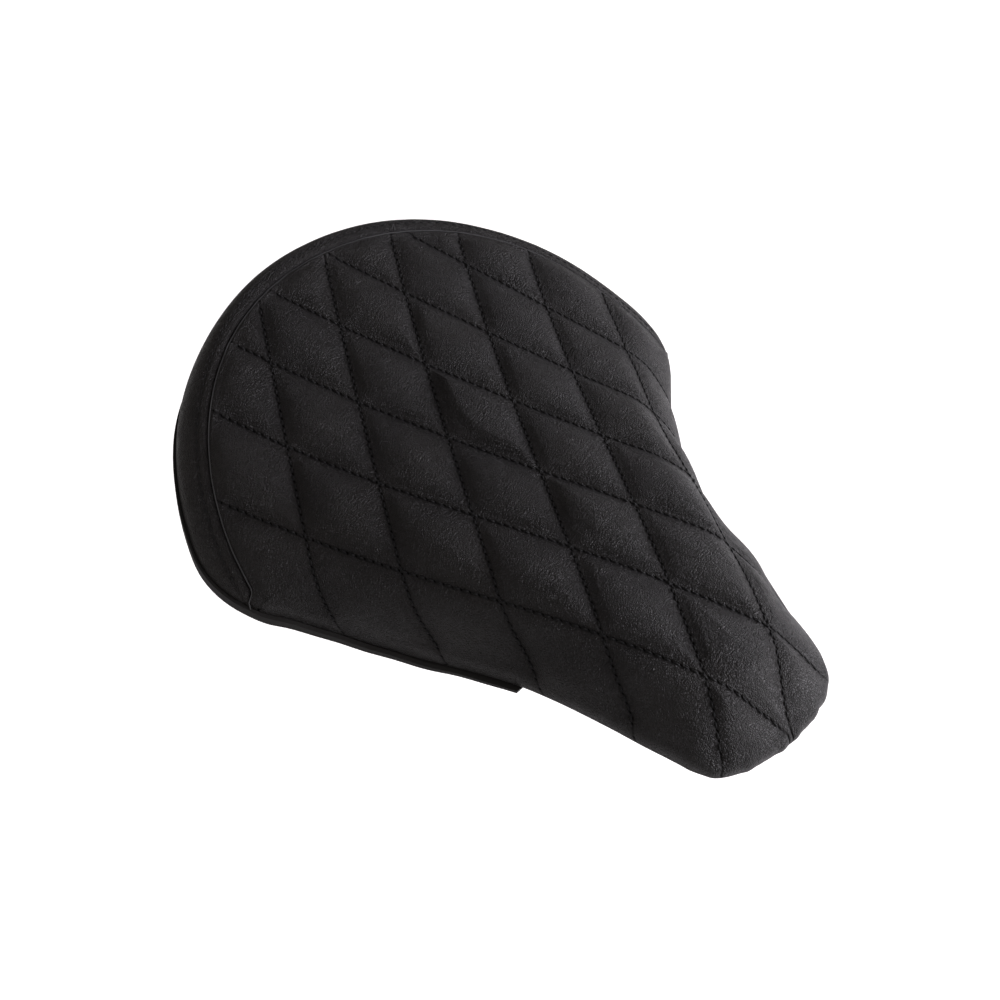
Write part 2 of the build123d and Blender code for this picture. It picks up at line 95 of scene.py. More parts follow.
# quilting: two families of stitch lines, six lines each
CELL_ACROSS = 19.8        # half a diamond's width along the surface
CELL_ALONG = 39.8         # half a diamond's length
FIRST_LINE, LAST_LINE = 1, 6
MIDDLE_Y = -46.0          # where the lattice's centre crosses the centre line
MIDDLE_V = 8.0            # the sum of both families' line numbers there
PUFF = 3.7                # height of a stuffed diamond
SKIRT_TUCK = 3.2          # how far the skirts draw in at the waist and nose
LINE_GRADIENT = 0.5 * math.hypot(1 / CELL_ACROSS, 1 / CELL_ALONG)      # lines per mm
SIDE_LENGTH = math.hypot(CELL_ACROSS, CELL_ALONG)

# thread and seam
STITCH = 4.0
BAND_STITCH_LINE = 5.0    # topstitching's distance outside the seam
THREAD_SIDES, THREAD_CUTS = 6, 6
CORD_RADIUS, CORD_LIFT = 0.30, 0.85
SKIN = 1.2                # thickness given to the leather sheets

# cloth simulation of the stuffed cover, on a coarse sheet
CLOTH_PRESSURE, CLOTH_FRAMES, CLOTH_CAP = 8.0, 20, 9.0
CLOTH_SHARE = 0.4         # of the quilting's height; sewn channels shape the rest
SHEET_STATIONS = 220
SHEET_RINGS = 40
SHEET_START = 0.8         # height of the diamonds before the pressure
SHEET_PIN = 1.9           # the sheet is held this near a stitch line

STATIONS = 440
RINGS = 150
BAND_RINGS = 64
HEM_SAMPLES, BEND_SAMPLES, WALL_SAMPLES = 12, 9, 3     # of a station line, below the pan's top
FOOT_SAMPLE = HEM_SAMPLES + BEND_SAMPLES + WALL_SAMPLES
ROLL_SAMPLES = 110        # of a station line, over the rolled edge
BEND_RADIUS = 2.2         # where the leather turns under the rim


def smooth_step(t):
    t = np.clip(t, 0.0, 1.0)
    return t * t * (3 - 2 * t)


def bell(y, centre, spread):
    return np.exp(-(((y - centre) / spread) ** 2))


def advance(x, y, heading, radius, amount):
    """End of one outline piece: an arc of signed radius, or a straight line."""
    if radius is None:
        return x + amount * math.cos(heading), y + amount * math.sin(heading), heading
    bend = heading + math.radians(amount) * math.copysign(1, radius)
    return (x + radius * (math.sin(bend) - math.sin(heading)),
            y - radius * (math.cos(bend) - math.cos(heading)), bend)


def outline_pieces():
    place, pieces = (0.0, REAR_TIP, 0.0), []
    for radius, amount in OUTLINE:
        pieces.append((*place, radius, amount))
        place = advance(*place, radius, amount)
    last_turn = math.pi + place[2]
    pieces.append((*place, -place[0] / math.sin(last_turn), math.degrees(last_turn)))
    return pieces


PIECES = outline_pieces()
LENGTHS = [a if r is None else abs(r) * math.radians(a) for *_, r, a in PIECES]


def rim_at(share):
    left = share * sum(LENGTHS)
    for piece, length in zip(PIECES, LENGTHS):
        if left <= length or piece is PIECES[-1]:
            return advance(*piece[:4], piece[4] * left / length)
        left -= length


NOSE_TIP = rim_at(1.0)[1]


def nearest_rim(x, y):
    """Distance inside the outline, the outward direction and the Y of the nearest rim point."""
    x, y = np.broadcast_arrays(np.abs(x), y)
    best = np.full(x.shape, 1e9)
    out = [np.zeros(x.shape) for _ in range(4)]
    for px, py, heading, radius, amount in PIECES:
        if radius is None:
            part = np.clip((x - px) * math.cos(heading) + (y - py) * math.sin(heading), 0, amount)
            rx, ry = px + part * math.cos(heading), py + part * math.sin(heading)
            turn = np.full(x.shape, heading)
        else:
            cx, cy = px - radius * math.sin(heading), py + radius * math.cos(heading)
            side = math.copysign(1, radius)
            facing = np.arctan2(side * (x - cx), -side * (y - cy))
            turned = np.degrees((facing - heading) * side) % 360
            part = np.where(turned <= amount, turned, np.where(turned > 180 + amount / 2, 0.0, amount))
            turn = heading + np.radians(part) * side
            rx = px + radius * (np.sin(turn) - math.sin(heading))
            ry = py - radius * (np.cos(turn) - math.cos(heading))
        across = np.hypot(x - rx, y - ry)
        inward = (x - rx) * np.sin(turn) - (y - ry) * np.cos(turn)
        closer = across < best
        best = np.where(closer, across, best)
        for store, value in zip(out, (np.copysign(across, inward), -np.sin(turn), np.cos(turn), ry)):
            store[closer] = value[closer]
    return out


def pan_top(y, distance):
    """Height of the pan's upper face at this distance in from the rim."""
    kick = KICK_RISE * smooth_step((y - KICK_START) / (KICK_END - KICK_START))
    roll = np.maximum(0.0, 1 - np.maximum(distance, -9) / ROLL_DOWN_WIDTH) ** 3
    return PAN_TOP + kick - WAIST_DROP * bell(y, WAIST_Y, WAIST_SPREAD) * roll


def crown(x, y):
    rear = REAR_RISE * np.maximum(0.0, y - CROWN_MIDDLE_Y) ** 2
    nose = NOSE_FALL * np.maximum(0.0, NOSE_START_Y - y) ** 2
    swell = NOSE_SWELL * smooth_step((CROWN_MIDDLE_Y - y) / (CROWN_MIDDLE_Y - NOSE_START_Y))
    fall = CROSS_FALL * bell(y, CROSS_FALL_Y, CROSS_FALL_SPREAD) * x * x
    return CROWN_HEIGHT + rear - nose + swell - fall


def roll_radius(y):
    return ROLL_REAR + (ROLL_SIDE - ROLL_REAR) * smooth_step((REAR_TIP - y) / (REAR_TIP - ROLL_SIDE_Y))


# ------------------------------------------------------------------ station lines

def value_noise(u, v, seed):
    """Smooth repeatable noise in -1..1 on an integer lattice."""
    def corner(i, j):
        h = np.sin(i * 127.1 + j * 311.7 + seed * 74.7) * 43758.5453
        return (h - np.floor(h)) * 2 - 1
    iu, iv = np.floor(u), np.floor(v)
    fu, fv = smooth_step(u - iu), smooth_step(v - iv)
    low = corner(iu, iv) * (1 - fu) + corner(iu + 1, iv) * fu
    high = corner(iu, iv + 1) * (1 - fu) + corner(iu + 1, iv + 1) * fu
    return low * (1 - fv) + high * fv


def station_lines(samples=260):
    """For each station round the seat, the cover's outer face from the hem's free edge, under and
    round the rim, up the skirt and over to the spine: an array of points, stations by samples."""
    half = [rim_at(i / STATIONS) for i in range(STATIONS + 1)]
    rim = np.array(half + [(-x, y, math.pi - h) for x, y, h in half[-2:0:-1]])
    rx, ry = rim[:, 0:1], rim[:, 1:2]
    nearest = nearest_rim(rx, ry)
    ox, oy = np.sign(rx) * nearest[1], nearest[2]
    ox[0] = ox[STATIONS] = 0.0
    share = np.minimum(np.arange(len(rim)), len(rim) - np.arange(len(rim)))[:, None] / STATIONS
    spine_y = (REAR_TIP - SPINE_REAR) + ((NOSE_TIP + SPINE_NOSE) - (REAR_TIP - SPINE_REAR)) * share
    foot = pan_top(ry, 0.0)
    under = np.linspace(HEM_WIDTH, BEND_RADIUS, HEM_SAMPLES)[None, :]
    hx, hy = rx - ox * under, ry - oy * under
    hz = pan_top(hy, under) - HEM_DROP
    turn = np.radians(np.linspace(0, 90, BEND_SAMPLES))[None, :]
    inset = BEND_RADIUS * (1 - np.sin(turn))
    bx, by = rx - ox * inset, ry - oy * inset
    bz = foot - HEM_DROP + BEND_RADIUS * (1 - np.cos(turn))
    wx, wy = np.repeat(rx, WALL_SAMPLES, 1), np.repeat(ry, WALL_SAMPLES, 1)
    wz = foot + np.linspace(-1.6, -0.5, WALL_SAMPLES)[None, :]
    length = np.hypot(rx, ry - spine_y)
    radius = np.minimum(roll_radius(ry) * 1.15, length * 0.6)
    near = radius * (1 - np.cos(np.radians(np.linspace(0, 90, ROLL_SAMPLES))))[None, :]
    far = radius + (length - radius) * np.linspace(0, 1, samples - ROLL_SAMPLES + 1)[None, 1:]
    along = np.concatenate([near, far], 1) / length
    tx, ty = rx * (1 - along), ry + (spine_y - ry) * along
    distance, *_, near_y = nearest_rim(tx, ty)
    part = np.clip(np.maximum(distance, 0) / roll_radius(near_y), 0, 1)
    lift = np.sqrt(1 - (1 - part) ** 2)
    base = pan_top(near_y, 0.0)
    tz = base + (crown(tx, ty) - base) * lift
    groups = ((hx, bx, wx, tx), (hy, by, wy, ty), (hz, bz, wz, tz))
    return np.stack([np.concatenate(g, 1) for g in groups], 2)


def arc_lengths(lines):
    steps = np.linalg.norm(np.diff(lines, axis=1), axis=2)
    return np.concatenate([np.zeros((len(lines), 1)), np.cumsum(steps, 1)], 1)


def resample(lines, arc, start, end, count):
    """Evenly spaced points along each line between two arc lengths."""
    shares = np.linspace(0, 1, count)
    out = np.empty((len(lines), count, 3))
    for i, line in enumerate(lines):
        at = start[i] + (end[i] - start[i]) * shares
        for k in range(3):
            out[i, :, k] = np.interp(at, arc[i], line[:, k])
    return out


def seam_starts(lines, arc):
    """Arc length along each station line where it crosses the seam; 0 where the band has ended."""
    out = np.hypot(lines[:, :, 0], lines[:, :, 1] - SEAM_CENTRE_Y) > SEAM_RADIUS
    out &= lines[:, :, 1] > SEAM_CENTRE_Y - 14
    last = np.array([np.max(np.nonzero(row)[0]) if row.any() else 0 for row in out])
    starts = arc[np.arange(len(arc)), last]
    spacing = sum(LENGTHS) / STATIONS
    for _ in range(80):
        starts = np.minimum(starts, np.minimum(np.roll(starts, 1), np.roll(starts, -1)) + 4.0 * spacing)
    kernel = np.hanning(13)
    padded = np.concatenate([starts[-6:], starts, starts[:6]])
    return np.where(starts > 0.01, np.convolve(padded, kernel / kernel.sum(), "valid"), 0.0)


LINES = station_lines()
ARC = arc_lengths(LINES)
SEAM = seam_starts(LINES, ARC)


# ------------------------------------------------------------------ mesh helpers

def make_mesh(name, verts, faces, smooth=True):
    mesh = bpy.data.meshes.new(name)
    mesh.from_pydata(((np.asarray(verts) + PAN_UNDERSIDE) * MM).tolist(), [], faces)
    mesh.validate()
    mesh.polygons.foreach_set("use_smooth", [smooth] * len(mesh.polygons))
    mesh.update()
    obj = bpy.data.objects.new(name, mesh)
    bpy.context.scene.collection.objects.link(obj)
    return obj


def add_field(obj, name, values):
    """A value at each vertex that the material reads."""
    attribute = obj.data.attributes.new(name, "FLOAT", "POINT")
    attribute.data.foreach_set("value", np.ascontiguousarray(values, np.float32).ravel())


def grid_normals(points, closed):
    """Unit normals of a stations-by-rings grid."""
    if closed:
        ds = np.roll(points, -1, 0) - np.roll(points, 1, 0)
    else:
        ds = np.gradient(points, axis=0)
    dr = np.gradient(points, axis=1)
    n = np.cross(dr, ds)
    size = np.linalg.norm(n, axis=2, keepdims=True)
    return n / np.maximum(size, 1e-9)


def grid_faces(stations, rings, closed):
    faces = []
    for i in range(stations if closed else stations - 1):
        j = (i + 1) % stations
        for k in range(rings - 1):
            faces.append((i * rings + k, i * rings + k + 1, j * rings + k + 1, j * rings + k))
    return faces


# ------------------------------------------------------------------ quilting

def lattice(points):
    """Which stitch line of each family a surface point is at, and its distance in from the rim."""
    x, y, z = points[..., 0], points[..., 1], points[..., 2]
    distance, nx, ny, near_y = nearest_rim(x, y)
    distance = np.maximum(distance, 0)
    radius = roll_radius(near_y)
    angle = np.linspace(0, math.pi / 2, 200)
    height = (crown(0, near_y) - pan_top(near_y, 0.0)) * 0.95
    share = np.clip(distance / radius, 0, 1)
    theta = np.arccos(np.clip(1 - share, 0, 1))
    ratio = height / radius
    extra = np.zeros_like(x)
    for r in np.linspace(0.8, 4.0, 17):
        arc = np.concatenate([[0], np.cumsum(np.hypot(np.diff(np.cos(angle)), r * np.diff(np.sin(angle))))])
        rest = arc[-1] - np.interp(theta, angle, arc)
        weight = np.clip(1 - np.abs(ratio - r) / 0.2, 0, 1)
        extra += weight * (rest - (1 - share)) * radius
    base = pan_top(near_y, 0.0)
    wall = np.where(distance < 0.3, np.maximum(base - z, 0), 0)
    extra = extra + wall
    centre_y = np.linspace(NOSE_TIP - 5, REAR_TIP + 5, 700)
    centre_arc = np.concatenate([[0], np.cumsum(np.hypot(np.diff(centre_y), np.diff(crown(0, centre_y))))])
    centre_arc -= np.interp(MIDDLE_Y, centre_y, centre_arc)
    v = MIDDLE_V + (-np.interp(y, centre_y, centre_arc) + extra * np.maximum(-ny, 0)) / CELL_ALONG
    u = -np.sign(x) * (np.abs(x) + extra * np.maximum(nx, 0)) / CELL_ACROSS
    return (v - u) / 2, (v + u) / 2, distance


def line_distance(t):
    """Distance in mm to the nearest stitch line of one family."""
    return np.abs(t - np.clip(np.round(t), FIRST_LINE, LAST_LINE)) / LINE_GRADIENT


def pillow(d):
    """Rise of a padded channel from its stitch line, 0 to 1."""
    part = np.clip(d * 2 * LINE_GRADIENT, 0, 1)
    return (1 - (1 - part) ** 2) ** 0.85


def quilt_height(points, i, j, inset, swell):
    """How far the padded leather stands over the sewn surface; swell is the cloth's rise in mm."""
    di, dj = line_distance(i), line_distance(j)
    skirt = 1 - smooth_step(inset / 30.0)
    rise = pillow(di) * pillow(dj)
    cell = value_noise(np.floor(i) * 3.7 + 0.5, np.floor(j) * 2.9 + 0.5, 5)
    middle = np.median(swell[(rise > 0.85) & (skirt < 0.1)])
    stuffed = np.clip(swell / middle, 0, 1.6) * smooth_step(np.minimum(di, dj) / 5.0)
    lift = (1 - CLOTH_SHARE) * rise + CLOTH_SHARE * stuffed
    move = PUFF * (1 - 0.5 * skirt) * (1 + 0.10 * cell) * lift - 0.6 - 0.6 * skirt
    # creases that run away from the stitches, most of them on each diamond's nose side
    corner = smooth_step((i - np.floor(i)) * 1.7 - 0.5) * smooth_step((j - np.floor(j)) * 1.5 - 0.3)
    for d, along, amount, seed in ((di, j, 0.30, 11), (dj, i, 0.16, 23)):
        s = along * SIDE_LENGTH
        crease = value_noise(s / 3.1, d / 13.0 + seed, seed) + 0.5 * value_noise(s / 1.9, d / 8.0, seed + 1)
        fade = np.exp(-d / 9.0) * smooth_step(d / 2.0)
        move = move + amount * crease * fade * (0.25 + corner)
    # slow unevenness of the filling
    uneven = value_noise(points[..., 0] / 17 + 40, points[..., 1] / 19 + 40, 3)
    return move + 0.30 * uneven * smooth_step(rise * 2)


def skirt_folds(points, up, inset):
    """The skirts' pull toward the pan's edge at the waist and nose, and their diagonal drag folds."""
    x, y, z = points[..., 0], points[..., 1], points[..., 2]
    front = smooth_step((-45 - y) / 70)
    tuck = -SKIRT_TUCK * front * np.sin(math.pi * np.clip((up + 2) / 40, 0, 1))
    drag = np.sin((y * 0.85 + z * 1.1) / 8.5 + 1.9 * value_noise(y / 33 + 9, x / 40 + 9, 31))
    low = smooth_step((up - 1) / 8) * (1 - smooth_step((inset - 14) / 16))
    sides = smooth_step((10 - y) / 50) * smooth_step((y + 190) / 40)
    return tuck + 0.75 * drag * low * sides * (0.6 + 0.4 * value_noise(y / 25, 7 + 0 * y, 37))


def hem_puckers(points, up):
    """Gathers where the leather turns under the nose."""
    x, y = points[..., 0], points[..., 1]
    nose = smooth_step((-150 - y) / 35)
    fold = value_noise(x / 4.5 + 70, y / 6.0 + 70, 61)
    return 0.55 * nose * fold * np.exp(-(((up + 1) / 5.0) ** 2))


# ------------------------------------------------------------------ cloth

def between(coarse, stations, rings):
    """Coarse grid values, closed round its stations, read at a finer grid's places."""
    i = np.arange(stations) * len(coarse) / stations
    k = np.linspace(0, coarse.shape[1] - 1, rings)
    i0, k0 = np.floor(i).astype(int), np.minimum(np.floor(k).astype(int), coarse.shape[1] - 2)
    fi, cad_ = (i - i0)[:, None], (k - k0)[None, :]
    i1 = (i0 + 1) % len(coarse)
    near = coarse[i0][:, k0] * (1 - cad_) + coarse[i0][:, k0 + 1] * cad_
    far = coarse[i1][:, k0] * (1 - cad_) + coarse[i1][:, k0 + 1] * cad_
    return near * (1 - fi) + far * fi


def cloth_rise(start, end):
    """How high stuffing lifts each sewn diamond, in mm over a coarse grid of the cover. It is a
    cloth simulation: the leather is pinned along its stitches and edges, under pressure."""
    step = 2 * STATIONS // SHEET_STATIONS
    points = resample(LINES[::step], ARC[::step], start[::step], end[::step], SHEET_RINGS)
    normals = grid_normals(points, True)
    normals[:, -1] = (0, 0, 1)
    i, j, _ = lattice(points)
    sewn = np.minimum(line_distance(i), line_distance(j))
    begin = points + normals * (SHEET_START * pillow(sewn))[..., None]
    faces = grid_faces(len(points), SHEET_RINGS, True)
    sheet = make_mesh("cloth_sheet", begin.reshape(-1, 3), faces)
    hold = sheet.vertex_groups.new(name="sewn")
    pinned = sewn < SHEET_PIN
    pinned[:, :2] = True
    for index in np.nonzero(pinned.ravel())[0]:
        hold.add([int(index)], 1.0, "REPLACE")
    cloth = sheet.modifiers.new("cloth", "CLOTH")
    settings = cloth.settings
    settings.quality = 5
    settings.use_pressure = True
    settings.uniform_pressure_force = CLOTH_PRESSURE
    settings.vertex_group_mass = hold.name
    settings.effector_weights.gravity = 0
    cloth.collision_settings.use_collision = False
    cloth.point_cache.frame_start, cloth.point_cache.frame_end = 1, CLOTH_FRAMES
    scene = bpy.context.scene
    for number in range(1, CLOTH_FRAMES + 1):
        scene.frame_set(number)
    with bpy.context.temp_override(object=sheet, active_object=sheet, selected_objects=[sheet]):
        bpy.ops.object.modifier_apply(modifier=cloth.name)
    scene.frame_set(1)
    settled = np.empty(points.size)
    sheet.data.vertices.foreach_get("co", settled)
    settled = settled.reshape(points.shape) / MM - PAN_UNDERSIDE
    mesh = sheet.data
    bpy.data.objects.remove(sheet)
    bpy.data.meshes.remove(mesh)
    return np.clip(((settled - points) * normals).sum(-1), 0, CLOTH_CAP)


# ------------------------------------------------------------------ leather pieces

def build_top_cover():
    start, end = SEAM.copy(), ARC[:, -1]
    points = resample(LINES, ARC, start, end, RINGS)
    normals = grid_normals(points, True)
    normals[:, -1] = (0, 0, 1)
    i, j, inset = lattice(points)
    run = (end - start)[:, None] * np.linspace(0, 1, RINGS)[None, :]
    foot = ARC[:, FOOT_SAMPLE]
    up = start[:, None] + run - foot[:, None]
    sewn = smooth_step((start - foot + 2) / 8.0)[:, None]
    swell = between(cloth_rise(start, end), len(points), RINGS)
    height = quilt_height(points, i, j, inset, swell) + skirt_folds(points, up, inset)
    height = height * smooth_step((up + 1.5) / 9.0) * (1 - sewn * np.exp(-((run / 4.5) ** 2)))
    lip = 0.35 * np.exp(-(((run - 1.5) / 1.1) ** 2)) - 0.9 * np.exp(-((run / 0.9) ** 2))
    height = height + sewn * lip + hem_puckers(points, up)
    moved = points + normals * height[..., None]
    stations = len(points)
    # stations mirror each other, so both sides share the spine's points
    index = np.arange(stations * RINGS)
    for s in range(1, STATIONS):
        index[(stations - s) * RINGS + RINGS - 1] = s * RINGS + RINGS - 1
    faces = [tuple(int(index[k]) for k in f) for f in grid_faces(stations, RINGS, True)]
    faces = [f for f in faces if len(set(f)) == 4]
    obj = make_mesh("quilted_top", moved.reshape(-1, 3), faces)
    add_field(obj, "line_i", i)
    add_field(obj, "line_j", j)
    fields = {"i": i, "j": j, "run": run, "sewn": sewn + 0 * run, "up": up}
    return obj, moved, grid_normals(moved, True), fields


def build_band():
    rows = np.nonzero(SEAM > 1.5)[0]
    order = np.concatenate([rows[rows > STATIONS], rows[rows <= STATIONS]])
    seam, foot = SEAM[order][:, None], ARC[order, FOOT_SAMPLE][:, None]
    points = resample(LINES[order], ARC[order], np.zeros(len(order)), SEAM[order], BAND_RINGS)
    normals = grid_normals(points, False)
    to_seam = seam * (1 - np.linspace(0, 1, BAND_RINGS))[None, :]
    up = seam - to_seam - foot
    along = np.cumsum(np.r_[0, np.linalg.norm(np.diff(points[:, -1], axis=0), axis=1)])[:, None] + 0 * to_seam
    bulge = 0.35 * np.sin(math.pi * np.clip(to_seam / np.maximum(seam - foot, 1), 0, 1))
    off_line = to_seam - BAND_STITCH_LINE
    tuck = -0.9 * np.exp(-((to_seam / 0.9) ** 2)) - 0.35 * np.exp(-((off_line / 0.9) ** 2))
    pucker = 0.14 * value_noise(along / 4.5, to_seam / 9.0, 51) * np.exp(-np.abs(off_line) / 5)
    uneven = 0.28 * value_noise(along / 31.0, to_seam / 14.0, 53)
    sewn = smooth_step((seam - foot + 2) / 8.0)
    height = (bulge + pucker + uneven) * smooth_step((up + 1.5) / 9.0) + tuck * sewn
    moved = points + normals * height[..., None]
    obj = make_mesh("rear_band_cover", moved.reshape(-1, 3), grid_faces(len(order), BAND_RINGS, False))
    far = np.full(to_seam.shape, -20.0)
    add_field(obj, "line_i", far)
    add_field(obj, "line_j", far)
    return obj, moved, grid_normals(moved, False), {"to_seam": to_seam, "along": along, "up": up}


# ------------------------------------------------------------------ stitches

def crossings(points, normals, field, keep, order_by, closed):
    """Points of a grid surface where field crosses zero, sorted along the line."""
    grids = points, normals, field, keep, order_by
    found = []
    for axis in (0, 1):
        if axis == 0 and closed:
            pairs = [(a, np.roll(a, -1, 0)) for a in grids]
        elif axis == 0:
            pairs = [(a[:-1], a[1:]) for a in grids]
        else:
            pairs = [(a[:, :-1], a[:, 1:]) for a in grids]
        (p0, p1), (n0, n1), (f0, f1), (k0, k1), (o0, o1) = pairs
        hit = (f0 * f1 < 0) & k0 & k1 & (np.abs(f0 - f1) < 0.3)
        t = (f0[hit] / (f0[hit] - f1[hit]))[:, None]
        rows = np.concatenate([p0[hit] * (1 - t) + p1[hit] * t, n0[hit] * (1 - t) + n1[hit] * t,
                               o0[hit][:, None] * (1 - t) + o1[hit][:, None] * t], 1)
        found.append(rows)
    rows = np.concatenate(found)
    return rows[np.argsort(rows[:, 6])]


def smooth_line(rows, width=9):
    """Moving average of sorted rows, to even out the grid's steps."""
    kernel = np.ones(width) / width
    return np.stack([np.convolve(rows[:, k], kernel, "valid") for k in range(rows.shape[1])], 1)


def stitch_places(rows, pitch, width=9):
    """Both ends of each stitch along a line of points that is sorted by its last column, in mm."""
    if len(rows) < 3 * width:
        return []
    line = smooth_line(rows, width)
    first, last = math.ceil(line[0, 6] / pitch), math.floor(line[-1, 6] / pitch)
    places = []
    for k in range(first, last):
        ends = [np.array([np.interp(s, line[:, 6], line[:, c]) for c in range(6)])
                for s in ((k + 0.14) * pitch, (k + 0.86) * pitch)]
        if 0.3 * pitch < np.linalg.norm(ends[1][:3] - ends[0][:3]) < 1.5 * pitch:
            places.append(ends)
    return places


def stitches(name, places, radius, lift, sag):
    """One mesh of thread stitches: each a thin bar that dives into the leather at both ends."""
    sides, cuts = THREAD_SIDES, THREAD_CUTS
    verts, faces = [], []
    for start, end in places:
        axis = end[:3] - start[:3]
        normal = start[3:6] + end[3:6]
        normal = normal / np.linalg.norm(normal)
        axis_unit = axis / np.linalg.norm(axis)
        across = np.cross(axis_unit, normal)
        across /= np.linalg.norm(across)
        normal = np.cross(across, axis_unit)
        first = len(verts)
        for c in range(cuts + 1):
            t = c / cuts
            arch = math.sin(math.pi * t)
            centre = start[:3] + axis * t + normal * (lift * arch - sag * (1 - arch))
            r = radius * (0.55 + 0.45 * math.sqrt(max(arch, 0.0)))
            for k in range(sides):
                a = 2 * math.pi * k / sides
                verts.append(centre + across * (r * math.cos(a)) + normal * (r * math.sin(a)))
        for c in range(cuts):
            for k in range(sides):
                n = (k + 1) % sides
                a, b = first + c * sides, first + (c + 1) * sides
                faces.append((a + k, a + n, b + n, b + k))
        faces.append(tuple(first + k for k in reversed(range(sides))))
        faces.append(tuple(first + cuts * sides + k for k in range(sides)))
    return make_mesh(name, np.array(verts), faces)


def quilt_stitches(points, normals, fields):
    places = []
    i, j, run, up, sewn = (fields[k] for k in ("i", "j", "run", "up", "sewn"))
    keep = (up > 1.0) & (run > 1.2 * sewn)
    for line in range(FIRST_LINE, LAST_LINE + 1):
        for a, b in ((i, j), (j, i)):
            rows = crossings(points, normals, a - line, keep, b * SIDE_LENGTH, True)
            places += stitch_places(rows, STITCH)
    return stitches("quilt_stitching", places, 0.40, 0.34, 0.30)


def band_stitches(points, normals, fields):
    keep = fields["up"] > 3.0
    off_line = (fields["to_seam"] - BAND_STITCH_LINE) * 0.1
    rows = crossings(points, normals, off_line, keep, fields["along"], False)
    return stitches("band_topstitching", stitch_places(rows, STITCH), 0.34, 0.22, 0.25)


def seam_cord(points, normals):
    """The folded edge along the seam, a fine cord from hem to hem; its light grey colour is a painted
    highlight of the black leather's fold.
    """
    edge = points[:, -1] + normals[:, -1] * CORD_LIFT
    sides = THREAD_SIDES
    along = np.gradient(edge, axis=0)
    along /= np.linalg.norm(along, axis=1, keepdims=True)
    out = normals[:, -1]
    across = np.cross(along, out)
    turns = np.arange(sides) * 2 * math.pi / sides
    verts = (edge[:, None] + CORD_RADIUS * (np.cos(turns)[None, :, None] * out[:, None]
                                            + np.sin(turns)[None, :, None] * across[:, None]))
    faces = []
    for a in range(0, (len(edge) - 1) * sides, sides):
        for k in range(sides):
            n = (k + 1) % sides
            faces.append((a + k, a + n, a + sides + n, a + sides + k))
    faces += [tuple(range(sides))[::-1], tuple((len(edge) - 1) * sides + k for k in range(sides))]
    return make_mesh("seam_cord", verts.reshape(-1, 3), faces)


# ------------------------------------------------------------------ materials

def new_material(name):
    material = bpy.data.materials.new(name)
    material.use_nodes = True
    nodes_ = material.node_tree.nodes
    return material, nodes_, material.node_tree.links, nodes_["Principled BSDF"]


def add(nodes_, kind, **inputs):
    node = nodes_.new(kind)
    for key, value in inputs.items():
        node.inputs[key.replace("_", " ")].default_value = value
    return node


def combine(tree, operation, *values):
    """Output of a math node; each value is a number or a socket."""
    node = tree.nodes.new("ShaderNodeMath")
    node.operation = operation
    for socket, value in zip(node.inputs, values):
        if isinstance(value, bpy.types.NodeSocket):
            tree.links.new(value, socket)
        else:
            socket.default_value = value
    return node.outputs[0]


def spread(tree, value, low, high, to_low=0.0, to_high=1.0):
    """A value eased between two limits."""
    node = tree.nodes.new("ShaderNodeMapRange")
    node.interpolation_type = "SMOOTHSTEP"
    tree.links.new(value, node.inputs["Value"])
    for name, number in (("From Min", low), ("From Max", high), ("To Min", to_low), ("To Max", to_high)):
        node.inputs[name].default_value = number
    return node.outputs["Result"]


def field(tree, name):
    node = tree.nodes.new("ShaderNodeAttribute")
    node.attribute_name = name
    return node.outputs["Fac"]


def dome(tree, distance, width):
    """exp(-(distance / width)^2)"""
    scaled = combine(tree, "DIVIDE", distance, width)
    squared = combine(tree, "MULTIPLY", scaled, scaled)
    return combine(tree, "EXPONENT", combine(tree, "MULTIPLY", squared, -1.0))


def seam_of_family(tree, across, along):
    """Closeness to the sewn crease and to the needle holes of one family of stitch lines."""
    line = combine(tree, "MAXIMUM", combine(tree, "ROUND", across), FIRST_LINE)
    line = combine(tree, "MINIMUM", line, LAST_LINE)
    away = combine(tree, "ABSOLUTE", combine(tree, "SUBTRACT", across, line))
    away = combine(tree, "DIVIDE", away, LINE_GRADIENT)
    place = combine(tree, "MULTIPLY", along, SIDE_LENGTH / STITCH)
    off = combine(tree, "MULTIPLY", combine(tree, "SUBTRACT", place, combine(tree, "ROUND", place)), STITCH)
    reach = combine(tree, "SQRT", combine(tree, "ADD", combine(tree, "MULTIPLY", away, away),
                                          combine(tree, "MULTIPLY", off, off)))
    return dome(tree, away, 0.6), dome(tree, reach, 0.55)


def cells(tree, vector, scale, edge):
    """Raised pebbles parted by narrow creases."""
    node = add(tree.nodes, "ShaderNodeTexVoronoi", Scale=scale)
    node.feature = "DISTANCE_TO_EDGE"
    tree.links.new(vector, node.inputs["Vector"])
    return spread(tree, node.outputs["Distance"], 0.0, edge)


def noise(tree, vector, scale, detail=3.0, distortion=0.0):
    node = add(tree.nodes, "ShaderNodeTexNoise", Scale=scale, Detail=detail, Distortion=distortion)
    tree.links.new(vector, node.inputs["Vector"])
    return node.outputs["Fac"]


def warped(tree, scale, amount, stretch):
    """Object coordinates pushed about by noise, then stretched."""
    coord = tree.nodes.new("ShaderNodeTexCoord").outputs["Object"]
    push = add(tree.nodes, "ShaderNodeTexNoise", Scale=scale, Detail=2.0)
    tree.links.new(coord, push.inputs["Vector"])
    shift = tree.nodes.new("ShaderNodeVectorMath")
    shift.operation = "MULTIPLY_ADD"
    tree.links.new(push.outputs["Color"], shift.inputs[0])
    shift.inputs[1].default_value = (amount,) * 3
    tree.links.new(coord, shift.inputs[2])
    size = tree.nodes.new("ShaderNodeVectorMath")
    size.operation = "MULTIPLY"
    tree.links.new(shift.outputs[0], size.inputs[0])
    size.inputs[1].default_value = stretch
    return size.outputs[0]


